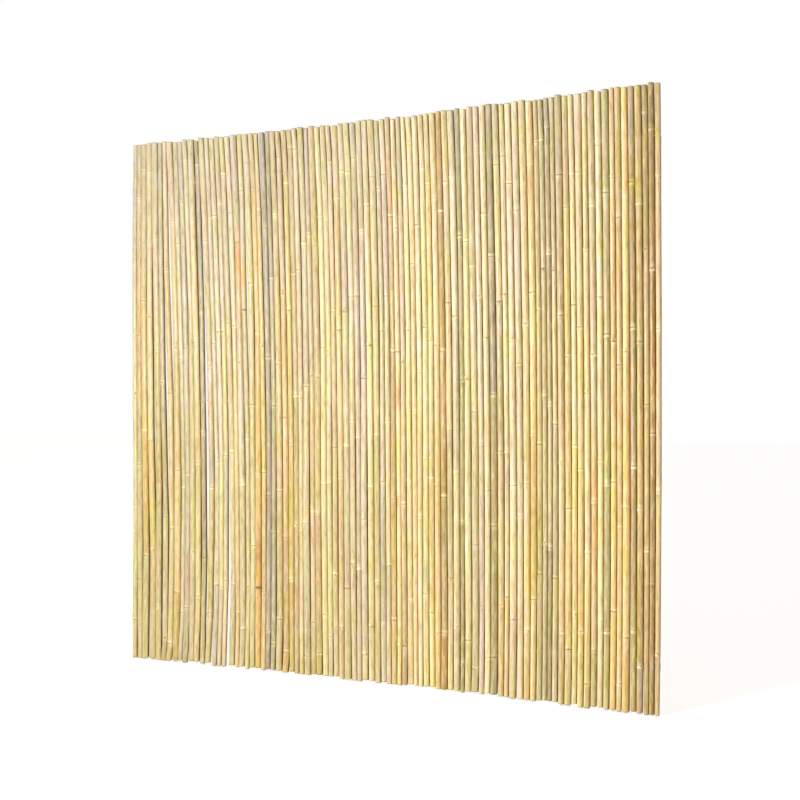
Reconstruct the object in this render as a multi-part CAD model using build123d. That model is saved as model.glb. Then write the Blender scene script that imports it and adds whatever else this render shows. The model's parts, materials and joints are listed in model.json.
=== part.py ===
"""Bamboo fence panel: one row of upright canes, drilled and threaded on three galvanised wires.

The panel stands unrolled in its own frame: X runs along the fence, -Y is the front, +Z is up,
and the origin is at the middle of its foot. All sizes are in millimetres.
"""
from build123d import *
import os
import random
from dataclasses import dataclass
from math import cos, pi, sin, sqrt

# Panel
CANE_COUNT = 90
CANES_PER_FILE = 2
PANEL_HEIGHT = 1829.0
CANE_GAP = 0.3
HEAD_SAG = 12.0
FOOT_RISE = 7.0
CUT_UNEVENNESS = 8.0

# Canes: the mean diameter falls from the left end of the row to the right end
DIAMETER_LEFT = 20.3
DIAMETER_RIGHT = 17.5
DIAMETER_SPREAD = 3.4
TAPER_LEAST = 1.6
TAPER_MOST = 3.8
SIDES = 6

# Nodes: the joints of a cane, closer together at its butt, each with a scar raised on one side
INTERNODE_BUTT = 400.0
INTERNODE_TIP = 510.0
INTERNODE_SPREAD = 45.0
FIRST_NODE_SHARE = 0.15
NODE_HALF_HEIGHT = 3.5
NODE_SCAR = 0.5
NODE_NECK = 0.15
NODE_FROM_END = 45.0
NODE_FROM_WIRE = 16.0

# Run of the canes: the middle of the row leans, most of all nearer its left end, and its ends are
# upright. Canes bend at their nodes, and a crooked cane stands off its neighbour where the row lags
LEAN_MOST = 34.0
LEAN_SKEW = 0.6
BEND_LEFT = 6.0
BEND_RIGHT = 0.5
CROOK_LEFT = 2.4
CROOK_RIGHT = 0.1
CROOK_LENGTH = 300.0
FORWARD_LEFT = 4.5
FORWARD_RIGHT = 0.8

# Open slits: cane on the right of it, then its middle and half its length as shares of the
# panel's height, and its width as a share of the widest slit
SLIT_WIDTH = 12.0
SLITS = (
    (3, 0.19, 0.13, 0.6),
    (4, 0.47, 0.10, 0.6),
    (5, 0.085, 0.10, 0.6),
    (6, 0.625, 0.13, 0.6),
    (6, 0.235, 0.08, 0.5),
    (7, 0.875, 0.08, 0.5),
    (7, 0.39, 0.10, 0.6),
    (12, 0.79, 0.07, 0.5),
    (13, 0.40, 0.14, 1.0),
    (14, 0.155, 0.07, 0.5),
    (17, 0.20, 0.19, 0.8),
    (21, 0.83, 0.07, 0.4),
    (24, 0.765, 0.07, 0.4),
    (74, 0.835, 0.08, 0.13),
    (77, 0.985, 0.09, 0.33),
    (85, 0.355, 0.08, 0.13),
)

# Wires
WIRE_DIAMETER = 1.6
WIRE_CLEARANCE = 0.3
WIRE_FORWARD = 2.5
WIRE_FROM_END = 157.0
WIRE_TAIL = 24.0
WIRE_BEND = 1.2
WIRE_SIDES = 6
WIRE_NAMES = ("wire_bottom", "wire_middle", "wire_top")
HOLE_SIDES = 3
DRILL_OVERRUN = 2.0

SEED = 7
SETTLE_ROUNDS = 60
SETTLE_STEP = 0.1
LEVELS = 9

wire_spacing = (PANEL_HEIGHT - 2 * WIRE_FROM_END) / (len(WIRE_NAMES) - 1)
wire_heights = [WIRE_FROM_END + row * wire_spacing for row in range(len(WIRE_NAMES))]


def mix(left, right, share):
    """A size that changes evenly from one end of a run to the other."""
    return left + (right - left) * share


def between(z, heights, values):
    """Straight-line value at height z, held level past both ends."""
    if z <= heights[0]:
        return values[0]
    for low, high, a, b in zip(heights, heights[1:], values, values[1:]):
        if z <= high:
            return a + (b - a) * (z - low) / (high - low)
    return values[-1]


def bulge(z, middle, half_length, width):
    """A smooth swelling of the space that a cane keeps from its neighbour."""
    if abs(z - middle) >= half_length:
        return 0.0
    return width * cos(pi * (z - middle) / (2 * half_length)) ** 2


@dataclass
class Cane:
    """One cane: the bends of its middle line, and its rings, each with half the cane's width."""
    bends: list
    places: list
    rings: list
    halves: list
    forward: float

    def middle_at(self, z):
        return between(z, self.bends, self.places)

    def half_at(self, z):
        return between(z, self.rings, self.halves)

    def left_at(self, z):
        return self.middle_at(z) - self.half_at(z)

    def right_at(self, z):
        return self.middle_at(z) + self.half_at(z)

    def front_at(self, z):
        """The wires hold the cane in line, and between them it stands a little forward or back."""
        return -self.forward * sin(pi * (z - wire_heights[0]) / wire_spacing)


def node_heights(foot, head, butt_down, dice):
    """Heights of the nodes, which lie further apart towards the tip and clear of the wires."""
    length = head - foot
    run = dice.uniform(FIRST_NODE_SHARE, 1.0) * INTERNODE_BUTT
    heights = []
    while run < length - NODE_FROM_END:
        if run > NODE_FROM_END:
            heights.append(foot + run if butt_down else head - run)
        run += mix(INTERNODE_BUTT, INTERNODE_TIP, run / length)
        run += dice.uniform(-INTERNODE_SPREAD, INTERNODE_SPREAD)
    return sorted(clear_of_wires(z) for z in heights)


def clear_of_wires(z):
    """Moves a node away from a wire that it would meet."""
    for wire in wire_heights:
        if abs(z - wire) < NODE_FROM_WIRE:
            return wire + NODE_FROM_WIRE if z >= wire else wire - NODE_FROM_WIRE
    return z


def lag(z, share, before):
    """How far the side of the cane before stands left of the line that the row should follow."""
    lean = LEAN_MOST * sin(pi * share ** LEAN_SKEW)
    return -lean * (z / PANEL_HEIGHT - 0.5) - before.right_at(z)


def draw_cane(share, before, dice):
    """A cane with its nodes and taper, laid butt down or butt up as the row's lean needs."""
    butt_down = before is None or lag(0, share, before) > lag(PANEL_HEIGHT, share, before)
    foot = FOOT_RISE * sin(pi * share) + dice.uniform(0, CUT_UNEVENNESS)
    head = PANEL_HEIGHT - HEAD_SAG * sin(pi * share) - dice.uniform(0, CUT_UNEVENNESS)
    nodes = node_heights(foot, head, butt_down, dice)
    diameter = mix(DIAMETER_LEFT, DIAMETER_RIGHT, share)
    diameter += dice.uniform(-DIAMETER_SPREAD, DIAMETER_SPREAD)
    taper = dice.uniform(TAPER_LEAST, TAPER_MOST) * (1 if butt_down else -1)
    below, above = (NODE_SCAR, NODE_NECK) if butt_down else (NODE_NECK, NODE_SCAR)

    rings = [(foot, 0.0)]
    for z in nodes:
        rings += [(z - NODE_HALF_HEIGHT, below), (z + NODE_HALF_HEIGHT, above)]
    rings.append((head, 0.0))
    halves = [(diameter - taper * (z / PANEL_HEIGHT - 0.5)) / 2 + extra for z, extra in rings]
    forward = dice.uniform(-1, 1) * mix(FORWARD_LEFT, FORWARD_RIGHT, share)
    bends = [foot, *nodes, head]
    return Cane(bends, [0.0] * len(bends), [z for z, _ in rings], halves, forward)


def room_to_keep(number, share, before):
    """The slits and the crook that hold a cane off the one before it, as bulges along its height."""
    levels = [PANEL_HEIGHT * (level + 0.5) / LEVELS for level in range(LEVELS)]
    behind = max(levels, key=lambda z: lag(z, share, before))
    bulges = [(behind, CROOK_LENGTH, mix(CROOK_LEFT, CROOK_RIGHT, share))]
    for right_cane, middle, half_length, width in SLITS:
        if right_cane == number:
            bulges.append((middle * PANEL_HEIGHT, half_length * PANEL_HEIGHT, width * SLIT_WIDTH))
    return bulges


def settle(cane, before, bulges, stiffness):
    """Pushes a cane against the one before it: it only bends at its nodes, by up to the stiffness."""
    heights = set(cane.rings + before.rings)
    for middle, half_length, _ in bulges:
        heights.update((middle, middle - half_length / 2, middle + half_length / 2))
    heights = [z for z in sorted(heights) if cane.bends[0] <= z <= cane.bends[-1]]
    limits = {
        z: before.right_at(z) + CANE_GAP + cane.half_at(z) + sum(bulge(z, *b) for b in bulges)
        for z in heights
    }
    cane.places = [limits[min(limits, key=lambda h: abs(h - z))] for z in cane.bends]
    for _ in range(SETTLE_ROUNDS):
        cane.places = [x - SETTLE_STEP for x in cane.places]
        straighten(cane, stiffness)
        press(cane, limits)
    slide = max(limit - cane.middle_at(z) for z, limit in limits.items())
    cane.places = [x + slide for x in cane.places]


def straighten(cane, stiffness):
    """Eases each bend that stands further than the stiffness from the line of its neighbours."""
    for k in range(1, len(cane.bends) - 1):
        low, here, high = cane.bends[k - 1 : k + 2]
        off = cane.places[k] - mix(cane.places[k - 1], cane.places[k + 1], (here - low) / (high - low))
        excess = max(0.0, off - stiffness) + min(0.0, off + stiffness)
        cane.places[k] -= excess / 2
        cane.places[k - 1] += excess / 4
        cane.places[k + 1] += excess / 4


def press(cane, limits):
    """Moves the bends right where the cane is nearer to its neighbour than it may be."""
    for z, limit in limits.items():
        short = limit - cane.middle_at(z)
        if short <= 0:
            continue
        upper = next(k for k in range(1, len(cane.bends)) if z <= cane.bends[k])
        share = (z - cane.bends[upper - 1]) / (cane.bends[upper] - cane.bends[upper - 1])
        scale = short / (share ** 2 + (1 - share) ** 2)
        cane.places[upper - 1] += scale * (1 - share)
        cane.places[upper] += scale * share


def lay_row():
    """All the canes, each settled against the one before it, with the row's middle at X = 0."""
    row = []
    for number in range(CANE_COUNT):
        share = number / (CANE_COUNT - 1)
        before = row[-1] if row else None
        cane = draw_cane(share, before, random.Random(SEED * 1000 + number))
        if before:
            bulges = room_to_keep(number, share, before)
            settle(cane, before, bulges, mix(BEND_LEFT, BEND_RIGHT, share))
        row.append(cane)
    left = min(row[0].left_at(z) for z in row[0].rings)
    right = max(row[-1].right_at(z) for z in row[-1].rings)
    for cane in row:
        cane.places = [x - (left + right) / 2 for x in cane.places]
    return row


def section(x, y, z, half):
    """Corners of a cane's section: flats face its neighbours on both sides, a ridge faces forward."""
    radius = half / cos(pi / SIDES)
    turns = [2 * pi * (k + 0.5) / SIDES for k in range(SIDES)]
    return [Vector(x + radius * cos(t), y + radius * sin(t), z) for t in turns]


def flat_face(corners):
    return Face(Wire.make_polygon(corners, close=True))


def make_cane(cane):
    """A closed stack of tapered lengths between the rings, with its two cut ends."""
    loops = [
        section(cane.middle_at(z), cane.front_at(z), z, half)
        for z, half in zip(cane.rings, cane.halves)
    ]
    faces = [flat_face(loops[0]), flat_face(loops[-1])]
    for low, high in zip(loops, loops[1:]):
        for k in range(SIDES):
            faces.append(flat_face([low[k - 1], low[k], high[k], high[k - 1]]))
    return Solid(Shell(faces))


def drill(cane, z):
    """The hole for one wire, right through the cane from side to side, a little forward of its middle."""
    across = 2 * (cane.half_at(z) + DRILL_OVERRUN)
    start = (cane.middle_at(z) - across / 2, -WIRE_FORWARD, z)
    plane = Plane(origin=start, x_dir=(0, 1, 0), z_dir=(1, 0, 0))
    hole_radius = WIRE_DIAMETER / 2 + WIRE_CLEARANCE
    outline = plane * RegularPolygon(hole_radius, HOLE_SIDES, major_radius=False)
    return extrude(outline, across)


def make_wire(z, row):
    """A wire through every hole, its ends bent down outside the end canes, clear of the holes' mouths."""
    hole_radius = WIRE_DIAMETER / 2 + WIRE_CLEARANCE
    stand_off = WIRE_BEND + (sqrt(2) - 1) * hole_radius
    tail_end = z - WIRE_TAIL
    left = min(row[0].left_at(h) for h in heights_between(row[0], tail_end, z)) - stand_off
    right = max(row[-1].right_at(h) for h in heights_between(row[-1], tail_end, z)) + stand_off
    bend = WIRE_BEND
    corners = [(left, tail_end), (left, z - bend), (left + bend, z)]
    corners += [(right - bend, z), (right, z - bend), (right, tail_end)]
    route = Polyline([(x, -WIRE_FORWARD, height) for x, height in corners])
    profile = Plane(origin=route @ 0, z_dir=route % 0) * RegularPolygon(WIRE_DIAMETER / 2, WIRE_SIDES)
    return sweep(profile, path=route, transition=Transition.RIGHT)


def heights_between(cane, low, high):
    """Both heights, and those of the cane's rings that lie between them."""
    return [low, high] + [z for z in cane.rings if low < z < high]


def save(name, shapes):
    piece = Compound(children=shapes) if len(shapes) > 1 else shapes[0]
    piece.label = name
    export_step(piece, f"parts/{name}.step")


def main():
    os.makedirs("parts", exist_ok=True)
    row = lay_row()
    for first in range(0, CANE_COUNT, CANES_PER_FILE):
        canes = []
        for cane in row[first : first + CANES_PER_FILE]:
            holes = [drill(cane, z) for z in wire_heights]
            canes.append((make_cane(cane) - holes).solid())
        last = first + len(canes)
        save(f"canes_{first + 1:02d}_{last:02d}", canes)
    for name, z in zip(WIRE_NAMES, wire_heights):
        save(name, [make_wire(z, row).solid()])


main()
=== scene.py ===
"""Looks of the bamboo fence panel: round canes with nodes, cut ends and drilled holes, on bent wires.

Lengths are in metres, in the frame of the solids: X runs along the fence, -Y is the front, +Z is up.
"""
import json
import math
from dataclasses import dataclass

import bmesh
import bpy
import numpy as np
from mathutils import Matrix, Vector


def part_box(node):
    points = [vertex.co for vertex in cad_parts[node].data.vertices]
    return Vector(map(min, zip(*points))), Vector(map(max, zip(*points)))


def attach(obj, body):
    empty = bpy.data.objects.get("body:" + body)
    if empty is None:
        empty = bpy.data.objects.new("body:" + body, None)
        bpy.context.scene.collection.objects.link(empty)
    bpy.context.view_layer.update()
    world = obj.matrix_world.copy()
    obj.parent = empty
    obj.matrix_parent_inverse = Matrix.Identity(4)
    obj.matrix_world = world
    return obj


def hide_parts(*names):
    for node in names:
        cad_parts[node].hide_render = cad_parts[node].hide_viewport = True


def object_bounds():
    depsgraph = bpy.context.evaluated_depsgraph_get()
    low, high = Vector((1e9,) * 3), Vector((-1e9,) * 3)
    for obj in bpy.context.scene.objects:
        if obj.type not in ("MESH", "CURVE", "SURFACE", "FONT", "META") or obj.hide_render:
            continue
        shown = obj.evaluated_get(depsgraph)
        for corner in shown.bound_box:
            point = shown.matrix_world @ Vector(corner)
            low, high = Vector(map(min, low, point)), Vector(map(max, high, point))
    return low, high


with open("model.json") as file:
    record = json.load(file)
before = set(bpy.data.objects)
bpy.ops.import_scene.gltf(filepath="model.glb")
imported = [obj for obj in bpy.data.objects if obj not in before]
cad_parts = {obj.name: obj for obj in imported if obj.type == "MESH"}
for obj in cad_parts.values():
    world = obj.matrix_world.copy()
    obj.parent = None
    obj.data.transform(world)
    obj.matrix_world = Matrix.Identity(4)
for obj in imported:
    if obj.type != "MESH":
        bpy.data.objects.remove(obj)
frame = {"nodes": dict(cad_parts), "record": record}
cad_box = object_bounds()

MM = 0.001
# Corners of the solids nearer to each other than this are one
WELD = 0.01 * MM
# Every cane's random draws start from this and its node's number
SEED = 11

# Solids: a cane's ring has this many corners, which tells it from the corners of its holes
CAD_SIDES = 6
# Wires: their radius and corners round, and the steps and radius of their bends
WIRE_NAMES = ("wire_bottom", "wire_middle", "wire_top")
WIRE_RADIUS = 0.8 * MM
WIRE_SIDES = 12
WIRE_BEND_STEPS = 5
WIRE_BEND_RADIUS = 1.6 * MM

# Mesh of a cane: its corners round, the longest and the shortest step between two of its rings,
# how far it is from a circle, and its wobble, with the least and most waves in a given length
SIDES = 26
INTERNODE_STEP = 45 * MM
LEAST_STEP = 0.25 * MM
OVALITY = 0.05
WOBBLE = 0.12 * MM
WAVES_IN_LENGTH = (0.5, 1.5)
SHARP_ANGLE = math.radians(40)
# Cut ends: the bore's width is a share of the cane's, and narrows to a share of its own
END_TILT_MOST = 0.03
RIM_CHAMFER = 0.25 * MM
END_DARK_LENGTH = 4 * MM
BORE_SHARE = 0.62
BORE_DEPTH = 30 * MM
BORE_HALFWAY = 0.96
BORE_BOTTOM = 0.9
# How cut each loop of an end is painted, and how dark with painted shade in the bore, from the rim's
# outer edge to the bore's bottom
CUT_SHARES = (0, 0.6, 1, 1, 1)
BORE_SHADE_SHARES = (0, 0, 0.1, 0.8, 1)
# Drilled holes: rings of the mesh stand at a hole's middle, at its edges and at its surround. In the
# zone about it, corners within the reach of one of its mouths, in radians, are drawn towards that
HOLE_RADIUS = 1.1 * MM
HOLE_DEPTH = 3.5 * MM
HOLE_SURROUND = 3 * HOLE_RADIUS
HOLE_ZONE = 4 * HOLE_RADIUS
HOLE_REACH = 0.6
# Skin is torn this far from a hole, on a cane of this radius
TORN_REACH = 4.0 * MM
MEAN_RADIUS = 9 * MM

# Outline of a node: distance from the scar towards the tip, how far the surface there stands off
# the straight side of the solid, and how far it swells besides to the front and back, in millimetres
NODE_OUTLINE = (
    (-60.0, 0.0, 0.0), (-16.0, -0.1, 0.0), (-6.0, -0.12, 0.2), (-2.0, -0.02, 0.5), (-0.6, 0.06, 0.7),
    (0.0, 0.15, 0.7), (0.6, 0.05, 0.6), (1.1, -0.6, 0.3), (1.9, -0.65, 0.2), (3.0, -0.3, 0.4),
    (4.6, 0.2, 0.9), (6.4, 0.5, 1.1), (8.6, 0.45, 1.0), (12.0, 0.2, 0.5), (18.0, 0.05, 0.2),
    (30.0, 0.0, 0.0), (60.0, 0.0, 0.0),
)
# A node swells by its own share of this outline, and more so towards the right end
SWELL_LEAST = 0.4
SWELL_MOST = 1.3
SWELL_RIGHT = 0.5
# Canes are this much stouter than their solids where their neighbours leave room for it, a limit
# that the least cosine keeps finite at the front and back
SPREAD = 0.3 * MM
SIDE_CLEARANCE = 0.04 * MM
LEAST_COSINE = 0.5
# The flattened side beyond a node, and the bud on it: widths and the most turn away from straight
# forth or back are in radians, and the flattening fades along the cane over a length
GROOVE_DEPTH = 0.45 * MM
GROOVE_WIDTH = 0.42
GROOVE_FADE = 75 * MM
BUD_TURN = 0.6
BUD_HEIGHT = 1.1 * MM
BUD_WIDTH = 0.2
BUD_FROM = 1.0 * MM
BUD_TO = 7.0 * MM
BUD_SOFT = 1.5 * MM


def linear(red, green, blue):
    """A colour written in 0 to 255, as light."""
    scaled = np.array([red, green, blue]) / 255
    return np.where(scaled <= 0.04045, scaled / 12.92, ((scaled + 0.055) / 1.055) ** 2.4)


# Tones of cane skin, and colours of its stains and scorched places
CREAM = linear(246, 232, 196)
STRAW = linear(242, 223, 168)
SAND = linear(231, 210, 160)
HONEY = linear(236, 206, 142)
ORANGE = linear(230, 186, 118)
GOLD = linear(238, 214, 130)
ASH = linear(216, 204, 178)
MAUVE = linear(222, 206, 190)
ROSE = linear(236, 216, 194)
GREEN = linear(218, 209, 150)
LIME = linear(237, 227, 164)
LAVENDER = linear(206, 192, 182)
CHAR = linear(52, 38, 26)
RUST = linear(150, 84, 26)
AMBER = linear(232, 170, 72)
YELLOW = linear(236, 224, 120)
SLATE = linear(160, 168, 160)

# Tones of each kind of cane: those of its pale side, with a painted highlight, then those of its darker
# side, with painted shade
SHADES = {
    "bamboo_straw": ((CREAM, STRAW, SAND, LIME, ROSE), (SAND, HONEY, GREEN, GOLD, ASH)),
    "bamboo_honey": ((STRAW, GOLD, CREAM, ROSE), (HONEY, GOLD, ORANGE, SAND)),
    "bamboo_grey": ((ROSE, MAUVE, CREAM, ASH), (LAVENDER, ASH, SAND, GREEN)),
    "bamboo_green": ((LIME, CREAM, STRAW, ASH), (GREEN, GOLD, ASH, GREEN)),
}
# From this height up canes are paler, most at their heads, but the darker side, with its painted shade,
# is spared by a share at each end of the row
PALER_TOP_TONE = linear(246, 239, 234)
PALER_FROM = 0.8
PALER_MOST = 0.8
SPARED_LEFT = 0.4
SPARED_RIGHT = 0.8
# All tones are cooler and duller at the left end of the row than at its right end
DULL_LEFT = linear(228, 236, 250)
DULL_RIGHT = linear(246, 246, 242)
# How uneven in brightness canes are at each end, and the usual and the brightest cane's share of it
UNEVEN_LEFT = 0.17
UNEVEN_RIGHT = 0.6
BRIGHT_USUAL = 0.3
BRIGHT_MOST = 0.4
# An internode's tone is drawn from the cane's own tone and one other, and made darker or brighter
OTHER_MOST = 0.9
INTERNODE_DARKEST = 0.86
INTERNODE_BRIGHTEST = 1.12
# The middle of the darker side, painted shade away from the lamp, is turned to the right of the front by
# an angle between these, in radians; the share of its tones has this mean round the cane, and swings
# this far from it
SHADED_SIDE_LEAST = 0.6
SHADED_SIDE_MOST = 2.0
SHADED_SIDE_MEAN = 0.5
SHADED_SIDE_SWING = 0.7
# A drift along each cane turns its darker side, widens it and changes its brightness
DRIFT_LENGTH = 1.2
DRIFT_TURN = 0.5
DRIFT_SHARE = 0.2
DRIFT_SHADE = 0.06
# Painted light: the pale side of a cane, a painted highlight, and its darker side, painted shade, are
# close in tone at the left end and far apart at the right end
CLOSE_LEFT = 0.45
APART_RIGHT = 0.12
# The pale side is paler still towards the right end, a stronger painted highlight, and no skin is
# brighter than this
PALEST = linear(250, 241, 222)
PALE_RIGHT = 0.35
BRIGHTEST = linear(248, 232, 210)
# Painted shade: both sides of a cane are warmer than its middle, and darker still where canes meet:
# each by these tints at the two ends of the row, and the painted shade where canes meet is browner,
# greener or redder from cane to cane
SIDE_SHADE_LEFT = linear(250, 245, 224)
SIDE_SHADE_RIGHT = linear(250, 236, 180)
MEETING_SHADE_LEFT = linear(128, 117, 80)
MEETING_SHADE_RIGHT = linear(82, 68, 12)
MEETING_SHADE_TINTS = ((1.0, 1.0, 1.0), (1.08, 0.96, 0.75), (0.94, 1.04, 0.7), (1.08, 0.93, 1.25))
# How far a side, with its painted shade, reaches round is shifted by a draw between these, and by this
# at the right end
FLANK_LEAST = -0.045
FLANK_MOST = 0.02
FLANK_RIGHT = 0.03
# Tints that keep the brightness about as it is
GREENER = (0.97, 1.02, 0.75)
PINKER = (1.04, 0.96, 0.99)

# Tints of the nodes, how strong they are, and where: from one distance beyond the scar to the other,
# with the softness of the edges
NODE_TINTS = ((1.0, 1.0, 1.0), (1.05, 1.0, 0.8), (1.0, 1.06, 0.7), (1.08, 1.05, 1.0), (1.02, 0.97, 0.9))
NODE_TINTED = 0.6
NODE_TINT_REACH = (-3 * MM, 12 * MM, 6 * MM)
# What is painted round each node: from one distance beyond the scar to the other with the softness
# of its edges, in millimetres, and its least and most strength
NODE_RINGS = {
    "bloom": (-5.0, -0.4, 3.0, 0.1, 0.9),
    "line": (0.5, 2.4, 0.6, 0.05, 0.85),
    "band": (3.0, 8.5, 2.5, 0.1, 0.95),
    "after": (9.5, 11.0, 1.2, 0.0, 0.6),
}
# Rings are this bold at the left end, bolder by this at the right end, and uneven round the cane
RING_BOLD = 0.75
RING_BOLD_RIGHT = 0.35
RING_MEAN = 0.75
RING_SWING = 0.25
# Each cut end is darkened over a short length by a share drawn between these
END_DARK_LEAST = 0.1
END_DARK_MOST = 0.7

# Marks on single canes are strongest on the right of the front, at this angle, and fade round it
MARK_SIDE = math.radians(-40)
MARK_MEAN = 0.45
MARK_SWING = 0.55
# Marks seen on single canes: colour, place along the row and height, half of the mark's length,
# and its strength; a node's mark sits at the scar nearest to that height
NODE_MARKS = (
    (CHAR, -0.414, 0.441, 0.006, 0.95),
    (CHAR, -0.483, 1.381, 0.004, 0.8),
    (CHAR, 0.101, 0.892, 0.006, 0.6),
    (CHAR, 0.926, 0.758, 0.002, 0.9),
    (YELLOW, 0.853, 1.665, 0.009, 0.9),
    (YELLOW, 0.083, 0.162, 0.01, 0.7),
)
LONG_MARKS = (
    (RUST, -0.414, 0.40, 0.035, 0.8),
    (AMBER, -0.414, 0.34, 0.07, 0.6),
    (AMBER, -0.483, 1.34, 0.05, 0.6),
    (AMBER, -0.511, 1.393, 0.11, 0.7),
    (AMBER, -0.91, 1.27, 0.32, 0.5),
    (AMBER, 0.745, 0.55, 0.24, 0.6),
    (AMBER, 0.929, 0.91, 0.25, 0.35),
    (RUST, 0.101, 0.93, 0.04, 0.7),
    (SLATE, -0.601, 0.693, 0.09, 0.5),
    (SLATE, 0.853, 1.703, 0.03, 0.6),
    (LAVENDER, -0.507, 1.66, 0.14, 0.7),
    (CREAM, 0.939, 0.9, 1.5, 0.75),
    (STRAW, 0.903, 0.7, 1.2, 0.6),
    (CREAM, 0.83, 0.3, 0.7, 0.5),
)

# Noises of the skin: scale across and along the grain, detail and roughness; the grain of each cane
# is shifted along it by up to so many metres, so that no two show the same streaks
GRAIN_SHIFT = 50
SKIN_NOISES = {
    "fine": (1300, 10, 4.0, 0.55),
    "streak": (260, 3.5, 3.0, 0.55),
    "other_streak": (190, 2.5, 3.0, 0.55),
    "patch": (70, 12, 5.0, 0.65),
    "other_patch": (60, 9, 4.0, 0.55),
    "blotch": (160, 28, 4.0, 0.6),
    "specks": (420, 210, 2.0, 0.55),
    "hue": (55, 7, 5.0, 0.6),
}
# Kinds of cane: the colour of their flushed patches, and how much the weather has greyed them
SKINS = {
    "bamboo_straw": (linear(238, 208, 146), 0.5),
    "bamboo_honey": (linear(226, 176, 106), 0.35),
    "bamboo_grey": (linear(186, 172, 158), 0.7),
    "bamboo_green": (linear(204, 202, 132), 0.45),
}
# Colours of the skin's streaks, blotches and marks, and of its cut ends
STREAK_TINT = linear(240, 214, 150)
OTHER_STREAK_TINT = linear(226, 226, 190)
GREYED = linear(196, 182, 152)
BLOTCH_TINT = linear(212, 196, 160)
BLOTCH_PALE = linear(250, 242, 220)
FINE_TINT = linear(226, 210, 176)
BAND_TONE = linear(250, 240, 194)
BLOOM_TONE = linear(250, 240, 210)
SPECK_TONE = linear(110, 78, 40)
LINE_TONE = linear(104, 76, 38)
BUD_TONE = linear(120, 84, 44)
TORN_TONE = linear(255, 246, 214)
FIBRE_PALE = linear(232, 210, 160)
FIBRE_DARK = linear(176, 140, 92)
# Painted shade deep in the bore and in the drilled holes
BORE_SHADE = linear(60, 42, 24)
# Gloss and relief: the least and most roughness of skin, that of cuts and that where canes meet
SKIN_ROUGH = (0.27, 0.42)
CUT_ROUGH = 0.85
MEETING_ROUGH = 0.8
SKIN_SPECULAR = 0.35
RELIEF_STRENGTH = 0.35
RELIEF_HEIGHT = 0.15 * MM

ZINC_SCALE = 900
ZINC_DARK = linear(150, 152, 154)
ZINC_PALE = linear(206, 208, 208)
ZINC_ROUGH = (0.3, 0.55)
ZINC_METALLIC = 0.9


@dataclass
class Cane:
    """One cane as the solids have it: its rings from foot to head, its scars, and which way it grew."""
    z: np.ndarray
    x: np.ndarray
    y: np.ndarray
    half: np.ndarray
    scars: np.ndarray
    up: int
    left_neighbour: "Cane" = None
    right_neighbour: "Cane" = None

    def along_row(self):
        """The cane's place in the row, from 0 at its left end to 1 at its right end."""
        return (self.x.mean() - cad_box[0].x) / (cad_box[1].x - cad_box[0].x)

    def side_room(self, z):
        """Half of the gap to the left and to the right neighbour at each height, less a clearance."""
        rooms = []
        for other, way in ((self.left_neighbour, -1), (self.right_neighbour, 1)):
            if other is None:
                rooms.append(np.zeros(len(z)))
                continue
            own_side = np.interp(z, self.z, self.x + way * self.half)
            other_side = np.interp(z, other.z, other.x - way * other.half)
            rooms.append(np.maximum(way * (other_side - own_side) / 2 - SIDE_CLEARANCE, 0))
        return rooms

    def nearest_scar(self, z):
        return np.abs(z[:, None] - self.scars).argmin(axis=1)

    def beyond_scar(self, z):
        """Distance of each height from the nearest scar, positive towards the tip."""
        return (z - self.scars[self.nearest_scar(z)]) * self.up


def solids_in(node):
    """Corner points of each separate solid in a CAD node, from left to right."""
    shape = bmesh.new()
    shape.from_mesh(frame["nodes"][node].data)
    bmesh.ops.remove_doubles(shape, verts=shape.verts, dist=WELD)
    waiting = set(shape.verts)
    solids = []
    while waiting:
        corners, to_visit = set(), {next(iter(waiting))}
        while to_visit:
            corner = to_visit.pop()
            corners.add(corner)
            to_visit |= {edge.other_vert(corner) for edge in corner.link_edges} - corners
        waiting -= corners
        solids.append(np.array([corner.co for corner in corners]))
    shape.free()
    return sorted(solids, key=lambda points: points[:, 0].mean())


def read_row(nodes):
    """The canes of each node, every one with the free space up to its neighbours on both sides."""
    canes = {node: [read_cane(points) for points in solids_in(node)] for node in nodes}
    row = [cane for node in nodes for cane in canes[node]]
    for left, right in zip(row, row[1:]):
        left.right_neighbour, right.left_neighbour = right, left
    return canes


def read_cane(points):
    """A cane from the corners of its solid: a level with six corners is one of its rings.

    Each node has two rings, and the stouter one, the scar, lies on the side of the butt.
    """
    points = points[np.argsort(points[:, 2])]
    levels = np.split(points, np.flatnonzero(np.diff(points[:, 2]) > WELD) + 1)
    rings = [level for level in levels if len(level) == CAD_SIDES]
    low = np.array([ring.min(axis=0) for ring in rings])
    high = np.array([ring.max(axis=0) for ring in rings])
    z, x, y = high[:, 2], (low[:, 0] + high[:, 0]) / 2, (low[:, 1] + high[:, 1]) / 2
    half = (high[:, 0] - low[:, 0]) / 2
    grew_up = half[1:-1:2].sum() > half[2:-1:2].sum()
    scars = z[1:-1:2] if grew_up else z[2:-1:2]
    return Cane(z, x, y, half, scars, 1 if grew_up else -1)


def wire_places():
    """Height of each wire, and how far forward or back it runs."""
    places = []
    for name in WIRE_NAMES:
        low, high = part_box(name)
        places.append((high.z - WIRE_RADIUS, (low.y + high.y) / 2))
    return places


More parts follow.
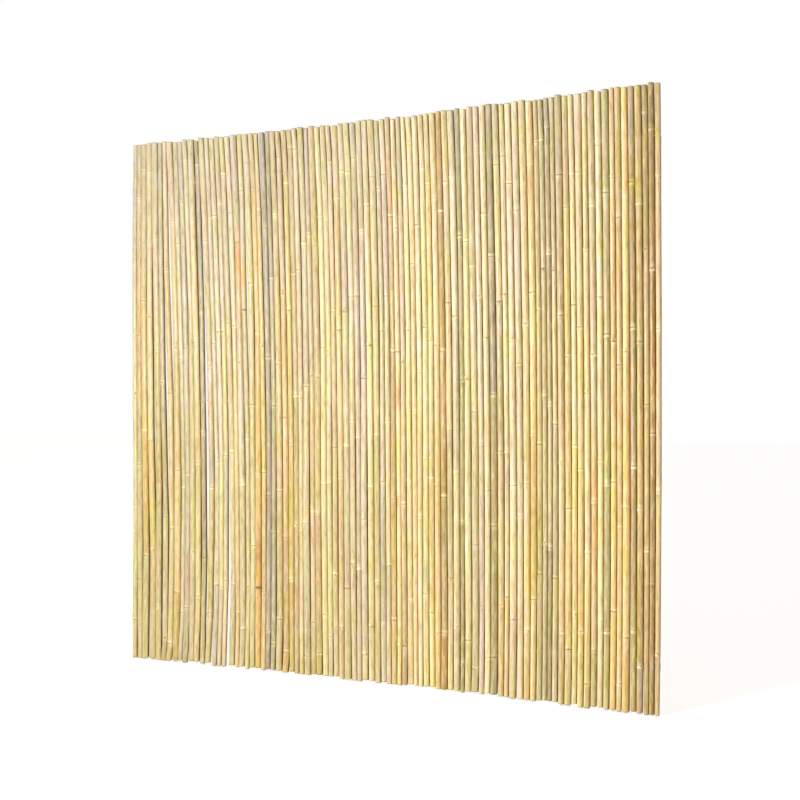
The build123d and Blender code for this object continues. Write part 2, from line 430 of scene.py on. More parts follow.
def ring_heights(cane, wires):
    """Heights of the mesh's rings: dense at scars and holes, and evenly spaced between them."""
    foot, head = cane.z[0] + RIM_CHAMFER, cane.z[-1] - RIM_CHAMFER
    kept = [foot, foot + END_DARK_LENGTH, head - END_DARK_LENGTH, head]
    for z, _ in wires:
        kept += [z, z - HOLE_RADIUS, z + HOLE_RADIUS, z - HOLE_SURROUND, z + HOLE_SURROUND]
    for scar in cane.scars:
        for outline in NODE_OUTLINE:
            z = scar + cane.up * outline[0] * MM
            if foot < z < head and min(abs(z - other) for other in kept) > LEAST_STEP:
                kept.append(z)
    kept = sorted(kept)
    heights = []
    for low, high in zip(kept, kept[1:]):
        steps = math.ceil((high - low) / INTERNODE_STEP)
        heights += [low + (high - low) * step / steps for step in range(steps)]
    return np.array(heights + [head])


def turn_to(angles, target):
    """Signed turn from a direction to each of the angles."""
    return (angles - target + math.pi) % (2 * math.pi) - math.pi


def aimed_angles(base, z, wires, radius):
    """Angles of all rings' corners, with some drawn onto the hole's mouths where a wire passes."""
    angles = np.repeat(base[None, :], len(z), axis=0)
    for wire_z, wire_y in wires:
        for ring in np.flatnonzero(np.abs(z - wire_z) < HOLE_ZONE):
            tilt = math.asin(wire_y / radius[ring])
            for mouth in (tilt, math.pi - tilt):
                off = turn_to(base, mouth)
                nearest = np.abs(off).argmin()
                reach = np.clip(1 - np.abs(turn_to(base, base[nearest])) / HOLE_REACH, 0, 1)
                angles[ring] -= off[nearest] * reach
    return angles


def wave(angle, z, random, waves=5, turns=2, length=0.5):
    """A smooth uneven field over a cane's surface, about -1 to 1."""
    field = np.zeros(np.broadcast(angle, z).shape)
    for _ in range(waves):
        rate = random.uniform(*WAVES_IN_LENGTH) * 2 * math.pi / length
        field += np.sin(random.integers(0, turns + 1) * angle + rate * z + random.uniform(0, 2 * math.pi))
    return field / math.sqrt(waves)


def swell(values, low, high, soft):
    """1 between low and high, falling to 0 over the soft distance on both sides."""
    return np.clip(np.minimum(values - low, high - values) / soft + 1, 0, 1)


def keep_to_room(cane, z, angle, surface):
    """Keeps a cane's sides out of its neighbours' half of the gap between them."""
    left_room, right_room = cane.side_room(z)
    room = np.where(np.cos(angle) < 0, left_room[:, None], right_room[:, None])
    reach = np.interp(z, cane.z, cane.half)[:, None] + room
    return np.minimum(surface, reach / np.maximum(np.abs(np.cos(angle)), LEAST_COSINE))


def raise_buds(cane, z, angle, surface, random):
    """Flattens a side beyond each node and raises a bud on it; returns how much of a bud is where."""
    bud = np.zeros_like(surface)
    for number, scar in enumerate(cane.scars):
        side = -math.pi / 2 + math.pi * (number % 2) + random.uniform(-BUD_TURN, BUD_TURN)
        off = turn_to(angle, side)
        above = ((z - scar) * cane.up)[:, None]
        fade = np.where(above > BUD_FROM, np.exp(-np.maximum(above, 0) / GROOVE_FADE), 0)
        surface -= GROOVE_DEPTH * fade * np.exp(-(off / GROOVE_WIDTH) ** 2)
        here = swell(above, BUD_FROM, BUD_TO, BUD_SOFT) * np.exp(-(off / BUD_WIDTH) ** 2)
        bud = np.maximum(bud, here)
    surface += BUD_HEIGHT * bud
    return bud


def drill_holes(z, angle, surface, radius, wires):
    """Sinks a pit into both sides of a cane where a wire passes, and returns its deepest corners."""
    hole = np.zeros_like(surface)
    for wire_z, wire_y in wires:
        ring = np.abs(z - wire_z).argmin()
        tilt = math.asin(wire_y / radius[ring])
        for mouth in (tilt, math.pi - tilt):
            corner = np.abs(turn_to(angle[ring], mouth)).argmin()
            for side in (-1, 1):
                edge = (corner + side) % SIDES
                angle[ring, edge] = angle[ring, corner] + side * HOLE_RADIUS / radius[ring]
            surface[ring, corner] -= HOLE_DEPTH
            hole[ring, corner] = 1
    return hole


def shape_cane(cane, wires, random):
    """Grids of a cane's points, of their angle and distance from its middle, its buds and its holes."""
    z = ring_heights(cane, wires)
    outline = np.array(NODE_OUTLINE) * MM
    beyond = cane.beyond_scar(z)
    swelling = random.uniform(SWELL_LEAST, SWELL_MOST, len(cane.scars)) + SWELL_RIGHT * cane.along_row()
    swelling = swelling[cane.nearest_scar(z)]
    standing = np.interp(beyond, outline[:, 0], outline[:, 1])
    radius = np.interp(z, cane.z, cane.half) + SPREAD + np.where(standing > 0, swelling, 1) * standing
    base = 2 * math.pi * np.arange(SIDES) / SIDES
    angle = aimed_angles(base, z, wires, radius)

    forth = np.sin(angle) ** 2
    surface = radius[:, None] * (1 + OVALITY * random.uniform(0, 1) * forth)
    surface += (swelling * np.interp(beyond, outline[:, 0], outline[:, 2]))[:, None] * forth
    surface += WOBBLE * wave(angle, z[:, None], random)
    surface = keep_to_room(cane, z, angle, surface)
    bud = raise_buds(cane, z, angle, surface, random)
    hole = drill_holes(z, angle, surface, radius, wires)

    x = np.interp(z, cane.z, cane.x)[:, None] + surface * np.cos(angle)
    y = np.interp(z, cane.z, cane.y)[:, None] + surface * np.sin(angle)
    y = np.clip(y, cad_box[0].y, cad_box[1].y)
    points = np.stack([x, y, np.broadcast_to(z[:, None], x.shape)], axis=2)
    return points, angle, surface, bud, hole


def end_loops(points, radius, level, inward, lean):
    """Loops of a cut end, from the rim's outer edge to the bottom of the bore."""
    middle = points.mean(axis=0)
    rim = ((1, RIM_CHAMFER), (1 - RIM_CHAMFER / radius, 0), (BORE_SHARE, 0))
    bore = ((BORE_SHARE * BORE_HALFWAY, BORE_DEPTH / 2), (BORE_SHARE * BORE_BOTTOM, BORE_DEPTH))
    loops = []
    for share, depth in rim + bore:
        loop = middle + (points - middle) * share
        tilt = lean * ((points[:, 0] - middle[0]) + radius) if depth < BORE_DEPTH / 2 else 0
        loop[:, 2] = level + inward * (depth + tilt)
        loops.append(loop)
    return loops


def internode_tones(cane, slot, random):
    """Tones of each internode from the foot up, on the pale and the painted-shade side; and the
    brightness.
    """
    kinds = SHADES[slot]
    own = [shades[random.integers(len(shades))] for shades in kinds]
    along_row = cane.along_row()
    uneven = UNEVEN_LEFT + (UNEVEN_RIGHT - UNEVEN_LEFT) * along_row
    brightness = random.triangular(1 - uneven, 1 + BRIGHT_USUAL * uneven, 1 + BRIGHT_MOST * uneven)
    apart = APART_RIGHT * along_row
    internodes = len(cane.scars) + 1
    tones = []
    for shades, main, side in zip(kinds, own, (1, -1)):
        for _ in range(internodes):
            other = shades[random.integers(len(shades))]
            mixed = main + (other - main) * random.uniform(0, OTHER_MOST)
            if side > 0:
                # A stronger painted highlight on the pale side towards the right end
                mixed = mixed + (PALEST - mixed) * PALE_RIGHT * along_row
            shade = random.uniform(INTERNODE_DARKEST, INTERNODE_BRIGHTEST)
            # Pale side brighter and darker side darker towards the right end: painted highlight and
            # painted shade
            tones.append(mixed * shade * (1 + side * apart))
    tones = np.array(tones).reshape(2, internodes, 3)
    # The painted highlight and painted shade are drawn together towards the left end
    tones[1] += (tones[0] - tones[1]) * CLOSE_LEFT * (1 - along_row)
    return tones, brightness


def pale_and_dull(cane, tone, z, shaded, brightness):
    """Makes a cane paler towards its head, and dulls it by its place in the row."""
    along_row = cane.along_row()
    paling = PALER_MOST * np.clip((z - PALER_FROM) / (cad_box[1].z - PALER_FROM), 0, 1)[:, None, None]
    spared = SPARED_LEFT + (SPARED_RIGHT - SPARED_LEFT) * along_row
    paling = paling * (1 - spared * shaded)
    tone = tone * (1 - paling) + PALER_TOP_TONE * brightness * paling
    return tone * (DULL_LEFT * (1 - along_row) + DULL_RIGHT * along_row)


def tint_nodes(cane, tone, z, random):
    """Tints the surroundings of every node, and darkens the skin next to both cut ends."""
    node_tints = np.array(NODE_TINTS)[random.integers(len(NODE_TINTS), size=len(cane.scars))]
    tint = node_tints[cane.nearest_scar(z)][:, None, :]
    tinted = NODE_TINTED * swell(cane.beyond_scar(z), *NODE_TINT_REACH)[:, None, None]
    tone = tone * (1 - tinted) + tone * tint * tinted
    for end in (cane.z[0], cane.z[-1]):
        end_darkening = random.uniform(END_DARK_LEAST, END_DARK_MOST) * np.clip(1 - np.abs(z - end) / END_DARK_LENGTH, 0, 1)
        tone = tone * (1 - end_darkening[:, None, None])
    return tone


def cane_tones(cane, slot, z, angle, random):
    """Colour of every surface point: each internode has its own tones, one for each side of the cane,
    laid as a painted highlight towards the lamp and painted shade away from it.
    """
    tones, brightness = internode_tones(cane, slot, random)
    tones = tones[:, np.searchsorted(np.sort(cane.scars), z), None, :] * brightness
    # The side with painted shade faces right of the front, away from the lamp
    shaded_side = random.uniform(SHADED_SIDE_LEAST, SHADED_SIDE_MOST) - math.pi / 2
    drift = wave(angle, z[:, None], random, turns=1, length=DRIFT_LENGTH)
    shaded = SHADED_SIDE_MEAN + SHADED_SIDE_SWING * np.cos(angle - shaded_side - DRIFT_TURN * drift)
    shaded = np.clip(shaded + DRIFT_SHARE * drift, 0, 1)[:, :, None]
    tone = tones[0] * (1 - shaded) + tones[1] * shaded
    tone = tone * (1 + DRIFT_SHADE * drift[:, :, None])
    tone = pale_and_dull(cane, tone, z, shaded, brightness)
    tone = tint_nodes(cane, tone, z, random)
    return mark_tones(cane, np.minimum(tone, BRIGHTEST), z, angle)


def mark_tones(cane, tone, z, angle):
    """Adds the stains and scorched nodes of this cane to its colours."""
    for marks, at_node in ((LONG_MARKS, False), (NODE_MARKS, True)):
        for colour, x, height, half_length, strength in marks:
            if abs(np.interp(height, cane.z, cane.x) - x) > np.interp(height, cane.z, cane.half):
                continue
            if at_node:
                height = cane.scars[np.abs(cane.scars - height).argmin()] + cane.up * half_length / 2
            share = strength * np.exp(-((z - height) / half_length) ** 2)[:, None, None]
            front = np.clip(MARK_MEAN + MARK_SWING * np.cos(angle - MARK_SIDE), 0, 1)[:, :, None]
            tone = tone * (1 - share * front) + colour * share * front
    return tone


def node_rings(cane, z, angle, random):
    """Strength of each painted ring at every surface point: no two nodes are marked alike."""
    nearest, beyond = cane.nearest_scar(z), cane.beyond_scar(z)
    boldness = RING_BOLD + RING_BOLD_RIGHT * cane.along_row()
    rings = {}
    for name, (low, high, soft, least, most) in NODE_RINGS.items():
        strength = random.uniform(least, most, len(cane.scars))[nearest] * boldness
        strongest = random.uniform(-math.pi, math.pi, len(cane.scars))[nearest]
        round_cane = RING_MEAN + RING_SWING * np.cos(angle - strongest[:, None])
        rings[name] = (strength * swell(beyond, low * MM, high * MM, soft * MM))[:, None] * round_cane
    return rings


def torn_skin(wires, z, angle, random):
    """How torn the skin is at every surface point: more or less so round each hole."""
    torn = np.zeros_like(angle)
    for wire_z, _ in wires:
        off = np.minimum(np.abs(turn_to(angle, 0)), np.abs(turn_to(angle, math.pi)))
        away = np.hypot(off * MEAN_RADIUS, z[:, None] - wire_z)
        torn = np.maximum(torn, np.exp(-(away / TORN_REACH) ** 2) * random.uniform(0, 1) ** 2)
    return torn


def nearness_to_sides(cane, angle, random):
    """About 1 at a cane's sides, where it meets its neighbours, and about 0 at its front and back."""
    shift_left, shift_right = random.uniform(FLANK_LEAST, FLANK_MOST, 2)
    flank = np.abs(np.cos(angle)) + np.where(np.cos(angle) < 0, shift_left, shift_right)
    return flank + FLANK_RIGHT * cane.along_row()


def closed_faces(count):
    """Faces of a closed stack of loops with as many corners as a cane has."""
    faces = []
    for ring in range(count - 1):
        for side in range(SIDES):
            after = (side + 1) % SIDES
            low, high = ring * SIDES, (ring + 1) * SIDES
            faces.append((low + side, low + after, high + after, high + side))
    faces.append(tuple(range(SIDES))[::-1])
    faces.append(tuple(range((count - 1) * SIDES, count * SIDES)))
    return faces


def padded(values, end_values):
    """Values of the side rings, with the given ones for the loops of a cut end at both ends."""
    trail = [np.broadcast_to(value, values[0].shape) for value in end_values]
    return np.concatenate([np.array(trail[::-1]), values[1:-1], np.array(trail)])


def side_colours(cane, random):
    """Tint of the painted shade where a cane meets its neighbours, and that of the painted shade on its
    sides.
    """
    along_row = cane.along_row()
    edge = MEETING_SHADE_LEFT + (MEETING_SHADE_RIGHT - MEETING_SHADE_LEFT) * along_row
    edge = edge * MEETING_SHADE_TINTS[random.integers(len(MEETING_SHADE_TINTS))]
    return edge, SIDE_SHADE_LEFT + (SIDE_SHADE_RIGHT - SIDE_SHADE_LEFT) * along_row


def build_cane(cane, slot, wires, random):
    """Vertices, faces and painted values of one closed cane."""
    points, angle, surface, bud, hole = shape_cane(cane, wires, random)
    z = points[:, 0, 2]
    tone = cane_tones(cane, slot, z, angle, random)
    rings = node_rings(cane, z, angle, random)
    torn = torn_skin(wires, z, angle, random)
    flank = nearness_to_sides(cane, angle, random)
    # Tints of the painted shade where canes meet and on the sides of each cane
    meeting_shade_tint, side_shade_tint = side_colours(cane, random)

    lean = random.uniform(-END_TILT_MOST, END_TILT_MOST, 2)
    foot = end_loops(points[0], surface[0].mean(), cane.z[0], 1, abs(lean[0]))
    head = end_loops(points[-1], surface[-1].mean(), cane.z[-1], -1, abs(lean[1]))
    loops = foot[::-1] + list(points[1:-1]) + head
    cuts = len(foot)

    grids = {name: padded(ring, [0] * cuts) for name, ring in rings.items()}
    grids |= {
        "bud": padded(bud, [0] * cuts),
        "flank": padded(flank, [0] * cuts),
        "torn": padded(torn, [0] * cuts),
        "cut": padded(np.zeros_like(angle), CUT_SHARES),
        # Painted shade in the bore of each cut end and at the bottom of each hole
        "dark": padded(hole, BORE_SHADE_SHARES),
    }
    red_green_blue = np.concatenate([
        np.repeat(tone[:1], cuts, axis=0), tone[1:-1], np.repeat(tone[-1:], cuts, axis=0),
    ])
    verts = np.concatenate(loops)
    middle_x = np.interp(verts[:, 2], cane.z, cane.x)
    middle_y = np.interp(verts[:, 2], cane.z, cane.y)
    grain = np.stack([verts[:, 0] - middle_x, verts[:, 1] - middle_y, verts[:, 2]], axis=1)
    grain[:, 2] += random.uniform(0, GRAIN_SHIFT)

    flat = {name: grid.reshape(-1) for name, grid in grids.items()}
    # Painted shade where canes meet, and on the sides of each cane
    flat["edge"] = np.tile(meeting_shade_tint, (len(verts), 1))
    flat["side"] = np.tile(side_shade_tint, (len(verts), 1))
    return verts, closed_faces(len(loops)), grain, red_green_blue.reshape(-1, 3), flat


def make_mesh(name, verts, faces):
    """A smooth mesh that keeps its sharp edges."""
    mesh = bpy.data.meshes.new(name)
    mesh.from_pydata(verts.tolist(), [], faces)
    mesh.polygons.foreach_set("use_smooth", [True] * len(mesh.polygons))
    mesh.set_sharp_from_angle(angle=SHARP_ANGLE)
    return mesh


def paint(mesh, name, values):
    """Stores a value, a vector or a colour at every vertex."""
    values = np.asarray(values, dtype=np.float32)
    if values.ndim == 1:
        mesh.attributes.new(name, "FLOAT", "POINT").data.foreach_set("value", values)
    else:
        mesh.attributes.new(name, "FLOAT_VECTOR", "POINT").data.foreach_set("vector", values.ravel())


def add_piece(name, mesh, material, node):
    """Adds a visible piece, which rides on the fence and stands for one CAD node."""
    piece = bpy.data.objects.new(name, mesh)
    bpy.context.scene.collection.objects.link(piece)
    mesh.materials.append(material)
    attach(piece, "root")
    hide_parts(node)


def add_canes(node, canes, slot, material, wires, random):
    """The round canes that stand for one CAD node, joined in one piece."""
    all_verts, all_faces, grains, tones, marks = [], [], [], [], []
    start = 0
    for cane in canes:
        verts, faces, grain, tone, flat = build_cane(cane, slot, wires, random)
        all_verts.append(verts)
        all_faces += [tuple(start + corner for corner in face) for face in faces]
        grains.append(grain)
        tones.append(tone)
        marks.append(flat)
        start += len(verts)
    mesh = make_mesh(node + "_round", np.concatenate(all_verts), all_faces)
    paint(mesh, "grain", np.concatenate(grains))
    paint(mesh, "tone", np.concatenate(tones))
    for name in marks[0]:
        paint(mesh, name, np.concatenate([flat[name] for flat in marks]))
    add_piece(node + "_round", mesh, material, node)


def wire_route(name):
    """Middle line of a wire: up its left tail, through the canes, and down its right tail."""
    low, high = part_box(name)
    left, right = low.x + WIRE_RADIUS, high.x - WIRE_RADIUS
    top, y = high.z - WIRE_RADIUS, (low.y + high.y) / 2
    route = [(left, y, low.z)]
    for x, start in ((left + WIRE_BEND_RADIUS, math.pi), (right - WIRE_BEND_RADIUS, math.pi / 2)):
        for step in range(WIRE_BEND_STEPS + 1):
            turn = start - math.pi / 2 * step / WIRE_BEND_STEPS
            z = top - WIRE_BEND_RADIUS + WIRE_BEND_RADIUS * math.sin(turn)
            route.append((x + WIRE_BEND_RADIUS * math.cos(turn), y, z))
    route.append((right, y, low.z))
    return [Vector(point) for point in route]


def add_wire(name, material):
    """A round strand along the wire's route, with flat cut ends."""
    route = wire_route(name)
    back = Vector((0, 1, 0))
    verts, faces = [], []
    for number, point in enumerate(route):
        before, after = route[max(number - 1, 0)], route[min(number + 1, len(route) - 1)]
        along = (after - before).normalized()
        across = along.cross(back)
        for side in range(WIRE_SIDES):
            turn = 2 * math.pi * side / WIRE_SIDES
            verts.append(point + WIRE_RADIUS * (math.cos(turn) * across + math.sin(turn) * back))
    for ring in range(len(route) - 1):
        low, high = ring * WIRE_SIDES, (ring + 1) * WIRE_SIDES
        for side in range(WIRE_SIDES):
            after = (side + 1) % WIRE_SIDES
            faces.append((low + side, high + side, high + after, low + after))
    faces.append(tuple(range(WIRE_SIDES)))
    faces.append(tuple(range(len(verts) - WIRE_SIDES, len(verts)))[::-1])
    mesh = make_mesh(name + "_round", np.array([list(vert) for vert in verts]), faces)
    add_piece(name + "_round", mesh, material, name)


# Sockets of Blender's mix node: those of its share and its two colours, and that of the mixed colour
MIX_INPUTS = (0, 6, 7)
MIX_RESULT = 2


class Nodes:
    """Short calls for the nodes of one material."""

    def __init__(self, name):
        self.material = bpy.data.materials.new(name)
        self.material.use_nodes = True
        self.tree = self.material.node_tree
        self.shader = self.tree.nodes["Principled BSDF"]

    def link(self, source, target):
        self.tree.links.new(source, target)

    def add(self, kind, **settings):
        made = self.tree.nodes.new(kind)
        for key, value in settings.items():
            setattr(made, key, value)
        return made

    def painted(self, name, output="Fac"):
        return self.add("ShaderNodeAttribute", attribute_name=name).outputs[output]

    def math(self, operation, *values):
        made = self.add("ShaderNodeMath", operation=operation)
        for socket, value in zip(made.inputs, values):
            if isinstance(value, (int, float)):
                socket.default_value = value
            else:
                self.link(value, socket)
        return made.outputs[0]

    def noise(self, vector, scale, detail=3.0, roughness=0.55):
        """Noise stretched by a scale for each direction."""
        scaled = self.add("ShaderNodeVectorMath", operation="MULTIPLY")
        self.link(vector, scaled.inputs[0])
        scaled.inputs[1].default_value = scale
        made = self.add("ShaderNodeTexNoise")
        self.link(scaled.outputs[0], made.inputs["Vector"])
        made.inputs["Scale"].default_value = 1.0
        made.inputs["Detail"].default_value = detail
        made.inputs["Roughness"].default_value = roughness
        return made.outputs["Fac"]

    def ramp(self, value, low, high, to_low=0.0, to_high=1.0):
        made = self.add("ShaderNodeMapRange", interpolation_type="SMOOTHSTEP")
        self.link(value, made.inputs["Value"])
        limits = {"From Min": low, "From Max": high, "To Min": to_low, "To Max": to_high}
        for socket, number in limits.items():
            made.inputs[socket].default_value = number
        return made.outputs["Result"]

    def mix(self, share, under, over, blend="MIX"):
        """Mixes two colours; a plain tuple is a colour that is the same all over."""
        made = self.add("ShaderNodeMix", data_type="RGBA", blend_type=blend, clamp_factor=True)
        for place, value in zip(MIX_INPUTS, (share, under, over)):
            socket = made.inputs[place]
            if isinstance(value, (int, float)):
                socket.default_value = value
            elif isinstance(value, (tuple, np.ndarray)):
                socket.default_value = (*value, 1.0)
            else:
                self.link(value, socket)
        return made.outputs[MIX_RESULT]


def skin_colour(n, noises, flush, greyed):
    """A cane's own tone with streaks, patches, blotches and changes of hue over it."""
    colour = n.painted("tone", "Vector")
    for name, start, full, strength, tint, blend in (
        ("streak", 0.46, 0.72, 0.55, STREAK_TINT, "MULTIPLY"),
        ("other_streak", 0.5, 0.72, 0.5, OTHER_STREAK_TINT, "MULTIPLY"),
        ("patch", 0.52, 0.72, 0.6, flush, "MIX"),
        ("other_patch", 0.5, 0.7, greyed, GREYED, "MIX"),
        ("blotch", 0.5, 0.7, 0.6, BLOTCH_TINT, "MULTIPLY"),
        ("blotch", 0.5, 0.3, 0.3, BLOTCH_PALE, "MIX"),
        ("hue", 0.5, 0.62, 1.0, GREENER, "MULTIPLY"),
        ("hue", 0.5, 0.38, 1.0, PINKER, "MULTIPLY"),
        ("fine", 0.35, 0.68, 0.8, FINE_TINT, "MULTIPLY"),
    ):
        colour = n.mix(n.ramp(noises[name], start, full, 0, strength), colour, tint, blend)
    return colour


def marked_colour(n, colour, specks, cut, flank):
    """The skin's colour with specks, nodes, buds, torn places and cut ends, and its painted shade."""
    band, bloom = n.painted("band"), n.painted("bloom")
    specks_here = n.math("ADD", 0.25, n.math("MULTIPLY", n.math("ADD", band, bloom), 0.9))
    lines = n.math("MAXIMUM", n.painted("line"), n.painted("after"))
    for value, strength, tint in (
        (band, 0.75, BAND_TONE),
        (bloom, 0.5, BLOOM_TONE),
        (n.ramp(specks, 0.63, 0.75), specks_here, SPECK_TONE),
        (lines, 0.9, LINE_TONE),
        (n.painted("bud"), 0.6, BUD_TONE),
    ):
        colour = n.mix(n.math("MULTIPLY", value, strength), colour, tint)
    # Painted shade on the sides of each cane, and darker painted shade where canes meet
    colour = n.mix(n.ramp(flank, 0.55, 0.95), colour, n.painted("side", "Vector"), "MULTIPLY")
    colour = n.mix(n.ramp(flank, 0.9, 1.0), colour, n.painted("edge", "Vector"), "MULTIPLY")
    colour = n.mix(n.math("MULTIPLY", n.painted("torn"), 0.8), colour, TORN_TONE)
    colour = n.mix(cut, colour, n.mix(n.ramp(specks, 0.4, 0.65), FIBRE_PALE, FIBRE_DARK))
    # Painted shade in the bore and the holes
    return n.mix(n.painted("dark"), colour, BORE_SHADE)


def bamboo(slot, flush, greyed):
    """Dry cane skin: fine streaks along the grain, flushed patches, specks, and marks at the nodes."""
    n = Nodes(slot)
    grain = n.painted("grain", "Vector")
    noises = {name: n.noise(grain, (across, across, along), detail, roughness)
              for name, (across, along, detail, roughness) in SKIN_NOISES.items()}
    specks, cut, flank = noises["specks"], n.painted("cut"), n.painted("flank")
    colour = skin_colour(n, noises, flush, greyed)
    n.link(marked_colour(n, colour, specks, cut, flank), n.shader.inputs["Base Color"])

    skin_rough = n.ramp(noises["streak"], 0.3, 0.7, *SKIN_ROUGH)
    rough = n.math("MAXIMUM", skin_rough, n.math("MULTIPLY", cut, CUT_ROUGH))
    n.link(n.math("MAXIMUM", rough, n.ramp(flank, 0.8, 0.98, 0, MEETING_ROUGH)), n.shader.inputs["Roughness"])
    n.shader.inputs["Specular IOR Level"].default_value = SKIN_SPECULAR
    bump = n.add("ShaderNodeBump")
    bump.inputs["Strength"].default_value = RELIEF_STRENGTH
    bump.inputs["Distance"].default_value = RELIEF_HEIGHT
    n.link(n.math("ADD", noises["fine"], n.math("MULTIPLY", specks, 0.5)), bump.inputs["Height"])
    n.link(bump.outputs["Normal"], n.shader.inputs["Normal"])
    return n.material


def zinc():
    """Dull galvanised wire with pale bloom and darker spots."""
    n = Nodes("galvanised_wire")
    place = n.add("ShaderNodeTexCoord").outputs["Object"]
    cloud = n.noise(place, (ZINC_SCALE, ZINC_SCALE, ZINC_SCALE))
    n.link(n.mix(n.ramp(cloud, 0.35, 0.65), ZINC_DARK, ZINC_PALE), n.shader.inputs["Base Color"])
    n.link(n.ramp(cloud, 0.3, 0.7, *ZINC_ROUGH), n.shader.inputs["Roughness"])
    n.shader.inputs["Metallic"].default_value = ZINC_METALLIC
    return n.material


def seen_directly(tree):
    """1 for rays of the camera, a reflection or clear glass, and 0 for those that light the panel."""
    path = tree.nodes.new("ShaderNodeLightPath")
    seen = path.outputs["Is Camera Ray"]
    for other in ("Is Glossy Ray", "Is Transmission Ray"):
        either = tree.nodes.new("ShaderNodeMath")
        either.operation = "MAXIMUM"
        tree.links.new(seen, either.inputs[0])
        tree.links.new(path.outputs[other], either.inputs[1])
        seen = either.outputs[0]
    return seen


# Fill light from all round, the key lamp before the panel, the sun behind it with its angles in
# degrees, and the floor
FILL = 0.49
FILL_TINT = (1.0, 0.98, 0.95)
KEY_POWER = 11.0
KEY_PLACE = (-0.3, -1.8, 1.2)
KEY_AIM = (0.2, 0.0, 0.95)
KEY_SIZE = 1.0
BACK_ENERGY = 1.5
BACK_AZIMUTH = 165
BACK_HEIGHT = 40
BACK_SPREAD = 30
FLOOR_SIZE = 60.0
FLOOR_GREY = 0.8
FLOOR_WHITE = 0.35


def light_world():
    """Even fill light from all round, and white behind the panel."""
    world = bpy.data.worlds.new("studio")
    bpy.context.scene.world = world
    world.use_nodes = True
    tree = world.node_tree
    tree.nodes.clear()
    fill, white = tree.nodes.new("ShaderNodeBackground"), tree.nodes.new("ShaderNodeBackground")
    fill.inputs["Color"].default_value = (*FILL_TINT, 1.0)
    fill.inputs["Strength"].default_value = FILL
    white.inputs["Color"].default_value = (1.0, 1.0, 1.0, 1.0)
    white.inputs["Strength"].default_value = 1.0
    choice = tree.nodes.new("ShaderNodeMixShader")
    tree.links.new(seen_directly(tree), choice.inputs["Fac"])
    tree.links.new(fill.outputs[0], choice.inputs[1])
    tree.links.new(white.outputs[0], choice.inputs[2])
    output = tree.nodes.new("ShaderNodeOutputWorld")
    tree.links.new(choice.outputs[0], output.inputs["Surface"])


def light_key():
    """A large soft lamp close before the middle, evened out so that it reaches both ends alike."""
    lamp = bpy.data.lights.new("key", "AREA")
    lamp.shape = "DISK"
    lamp.size = KEY_SIZE
    lamp.energy = KEY_POWER
    lamp.use_nodes = True
    tree = lamp.node_tree
    even = tree.nodes.new("ShaderNodeLightFalloff")
    even.inputs["Strength"].default_value = 1.0
    tree.links.new(even.outputs["Constant"], tree.nodes["Emission"].inputs["Strength"])
    key = bpy.data.objects.new("key", lamp)
    bpy.context.scene.collection.objects.link(key)
    key.location = KEY_PLACE
    key.visible_camera = False
    key.rotation_euler = (Vector(KEY_PLACE) - Vector(KEY_AIM)).to_track_quat("Z", "Y").to_euler()


def light_back():
    """A weaker wide lamp behind the panel, so that its back is lit too."""
    lamp = bpy.data.lights.new("back", "SUN")
    lamp.energy = BACK_ENERGY
    lamp.angle = math.radians(BACK_SPREAD)
    back = bpy.data.objects.new("back", lamp)
    bpy.context.scene.collection.objects.link(back)
    turn, rise = math.radians(BACK_AZIMUTH), math.radians(BACK_HEIGHT)
    towards = Vector((math.sin(turn) * math.cos(rise), -math.cos(turn) * math.cos(rise), math.sin(rise)))
    back.rotation_euler = towards.to_track_quat("Z", "Y").to_euler()


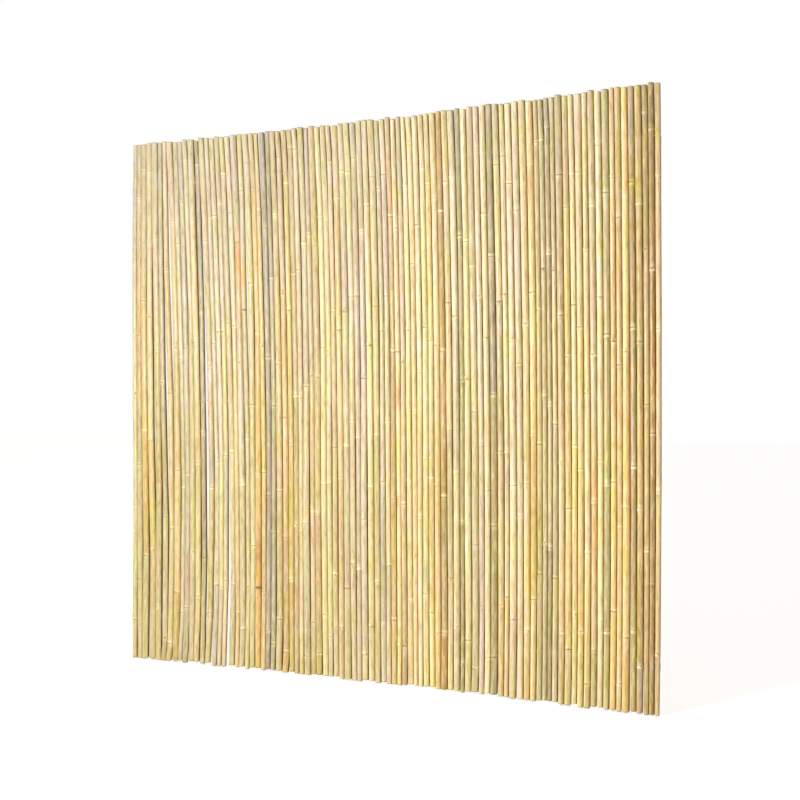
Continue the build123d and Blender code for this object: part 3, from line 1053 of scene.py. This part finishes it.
def lay_floor():
    """Pale floor, lifted to white where it is seen, which keeps the panel's soft shadow."""
    level = cad_box[0].z
    half = FLOOR_SIZE / 2
    mesh = bpy.data.meshes.new("floor")
    corners = [(x * half, y * half, level) for x, y in ((-1, -1), (1, -1), (1, 1), (-1, 1))]
    mesh.from_pydata(corners, [], [(0, 1, 2, 3)])
    floor = bpy.data.objects.new("floor", mesh)
    bpy.context.scene.collection.objects.link(floor)
    n = Nodes("floor")
    n.shader.inputs["Base Color"].default_value = (FLOOR_GREY, FLOOR_GREY, FLOOR_GREY, 1.0)
    n.shader.inputs["Roughness"].default_value = 1.0
    n.shader.inputs["Specular IOR Level"].default_value = 0.0
    glow = n.add("ShaderNodeEmission")
    n.link(n.math("MULTIPLY", seen_directly(n.tree), FLOOR_WHITE), glow.inputs["Strength"])
    both = n.add("ShaderNodeAddShader")
    n.link(n.shader.outputs[0], both.inputs[0])
    n.link(glow.outputs[0], both.inputs[1])
    n.link(both.outputs[0], n.tree.nodes["Material Output"].inputs["Surface"])
    mesh.materials.append(n.material)


# Camera: its place, its turn in degrees, and its lens and sensor in millimetres
CAMERA_PLACE = (1.799, -3.423, 0.879)
CAMERA_TURN = 26.2
CAMERA_LENS = 54.0
CAMERA_SENSOR = 36.0
CAMERA_SHIFT = (-0.001, 0.0137)


def set_camera():
    """The photograph's view: from the right of the front, at about half the panel's height."""
    data = bpy.data.cameras.new("camera")
    data.lens = CAMERA_LENS
    data.sensor_width = CAMERA_SENSOR
    data.shift_x, data.shift_y = CAMERA_SHIFT
    camera = bpy.data.objects.new("camera", data)
    camera.location = CAMERA_PLACE
    camera.rotation_euler = (math.radians(90), 0, math.radians(CAMERA_TURN))
    bpy.context.scene.collection.objects.link(camera)
    bpy.context.scene.camera = camera


def main():
    bpy.context.scene.view_settings.view_transform = "Standard"
    set_camera()
    light_world()
    light_key()
    light_back()
    lay_floor()
    materials = {slot: bamboo(slot, *skin) for slot, skin in SKINS.items()}
    wires = wire_places()
    slots = {row["node"]: row["material_slot"] for row in frame["record"]["subparts"]}
    canes = read_row(sorted(name for name in slots if name not in WIRE_NAMES))
    for number, node in enumerate(canes):
        slot = slots[node]
        add_canes(node, canes[node], slot, materials[slot], wires, np.random.default_rng([SEED, number]))
    galvanised = zinc()
    for name in WIRE_NAMES:
        add_wire(name, galvanised)


main()
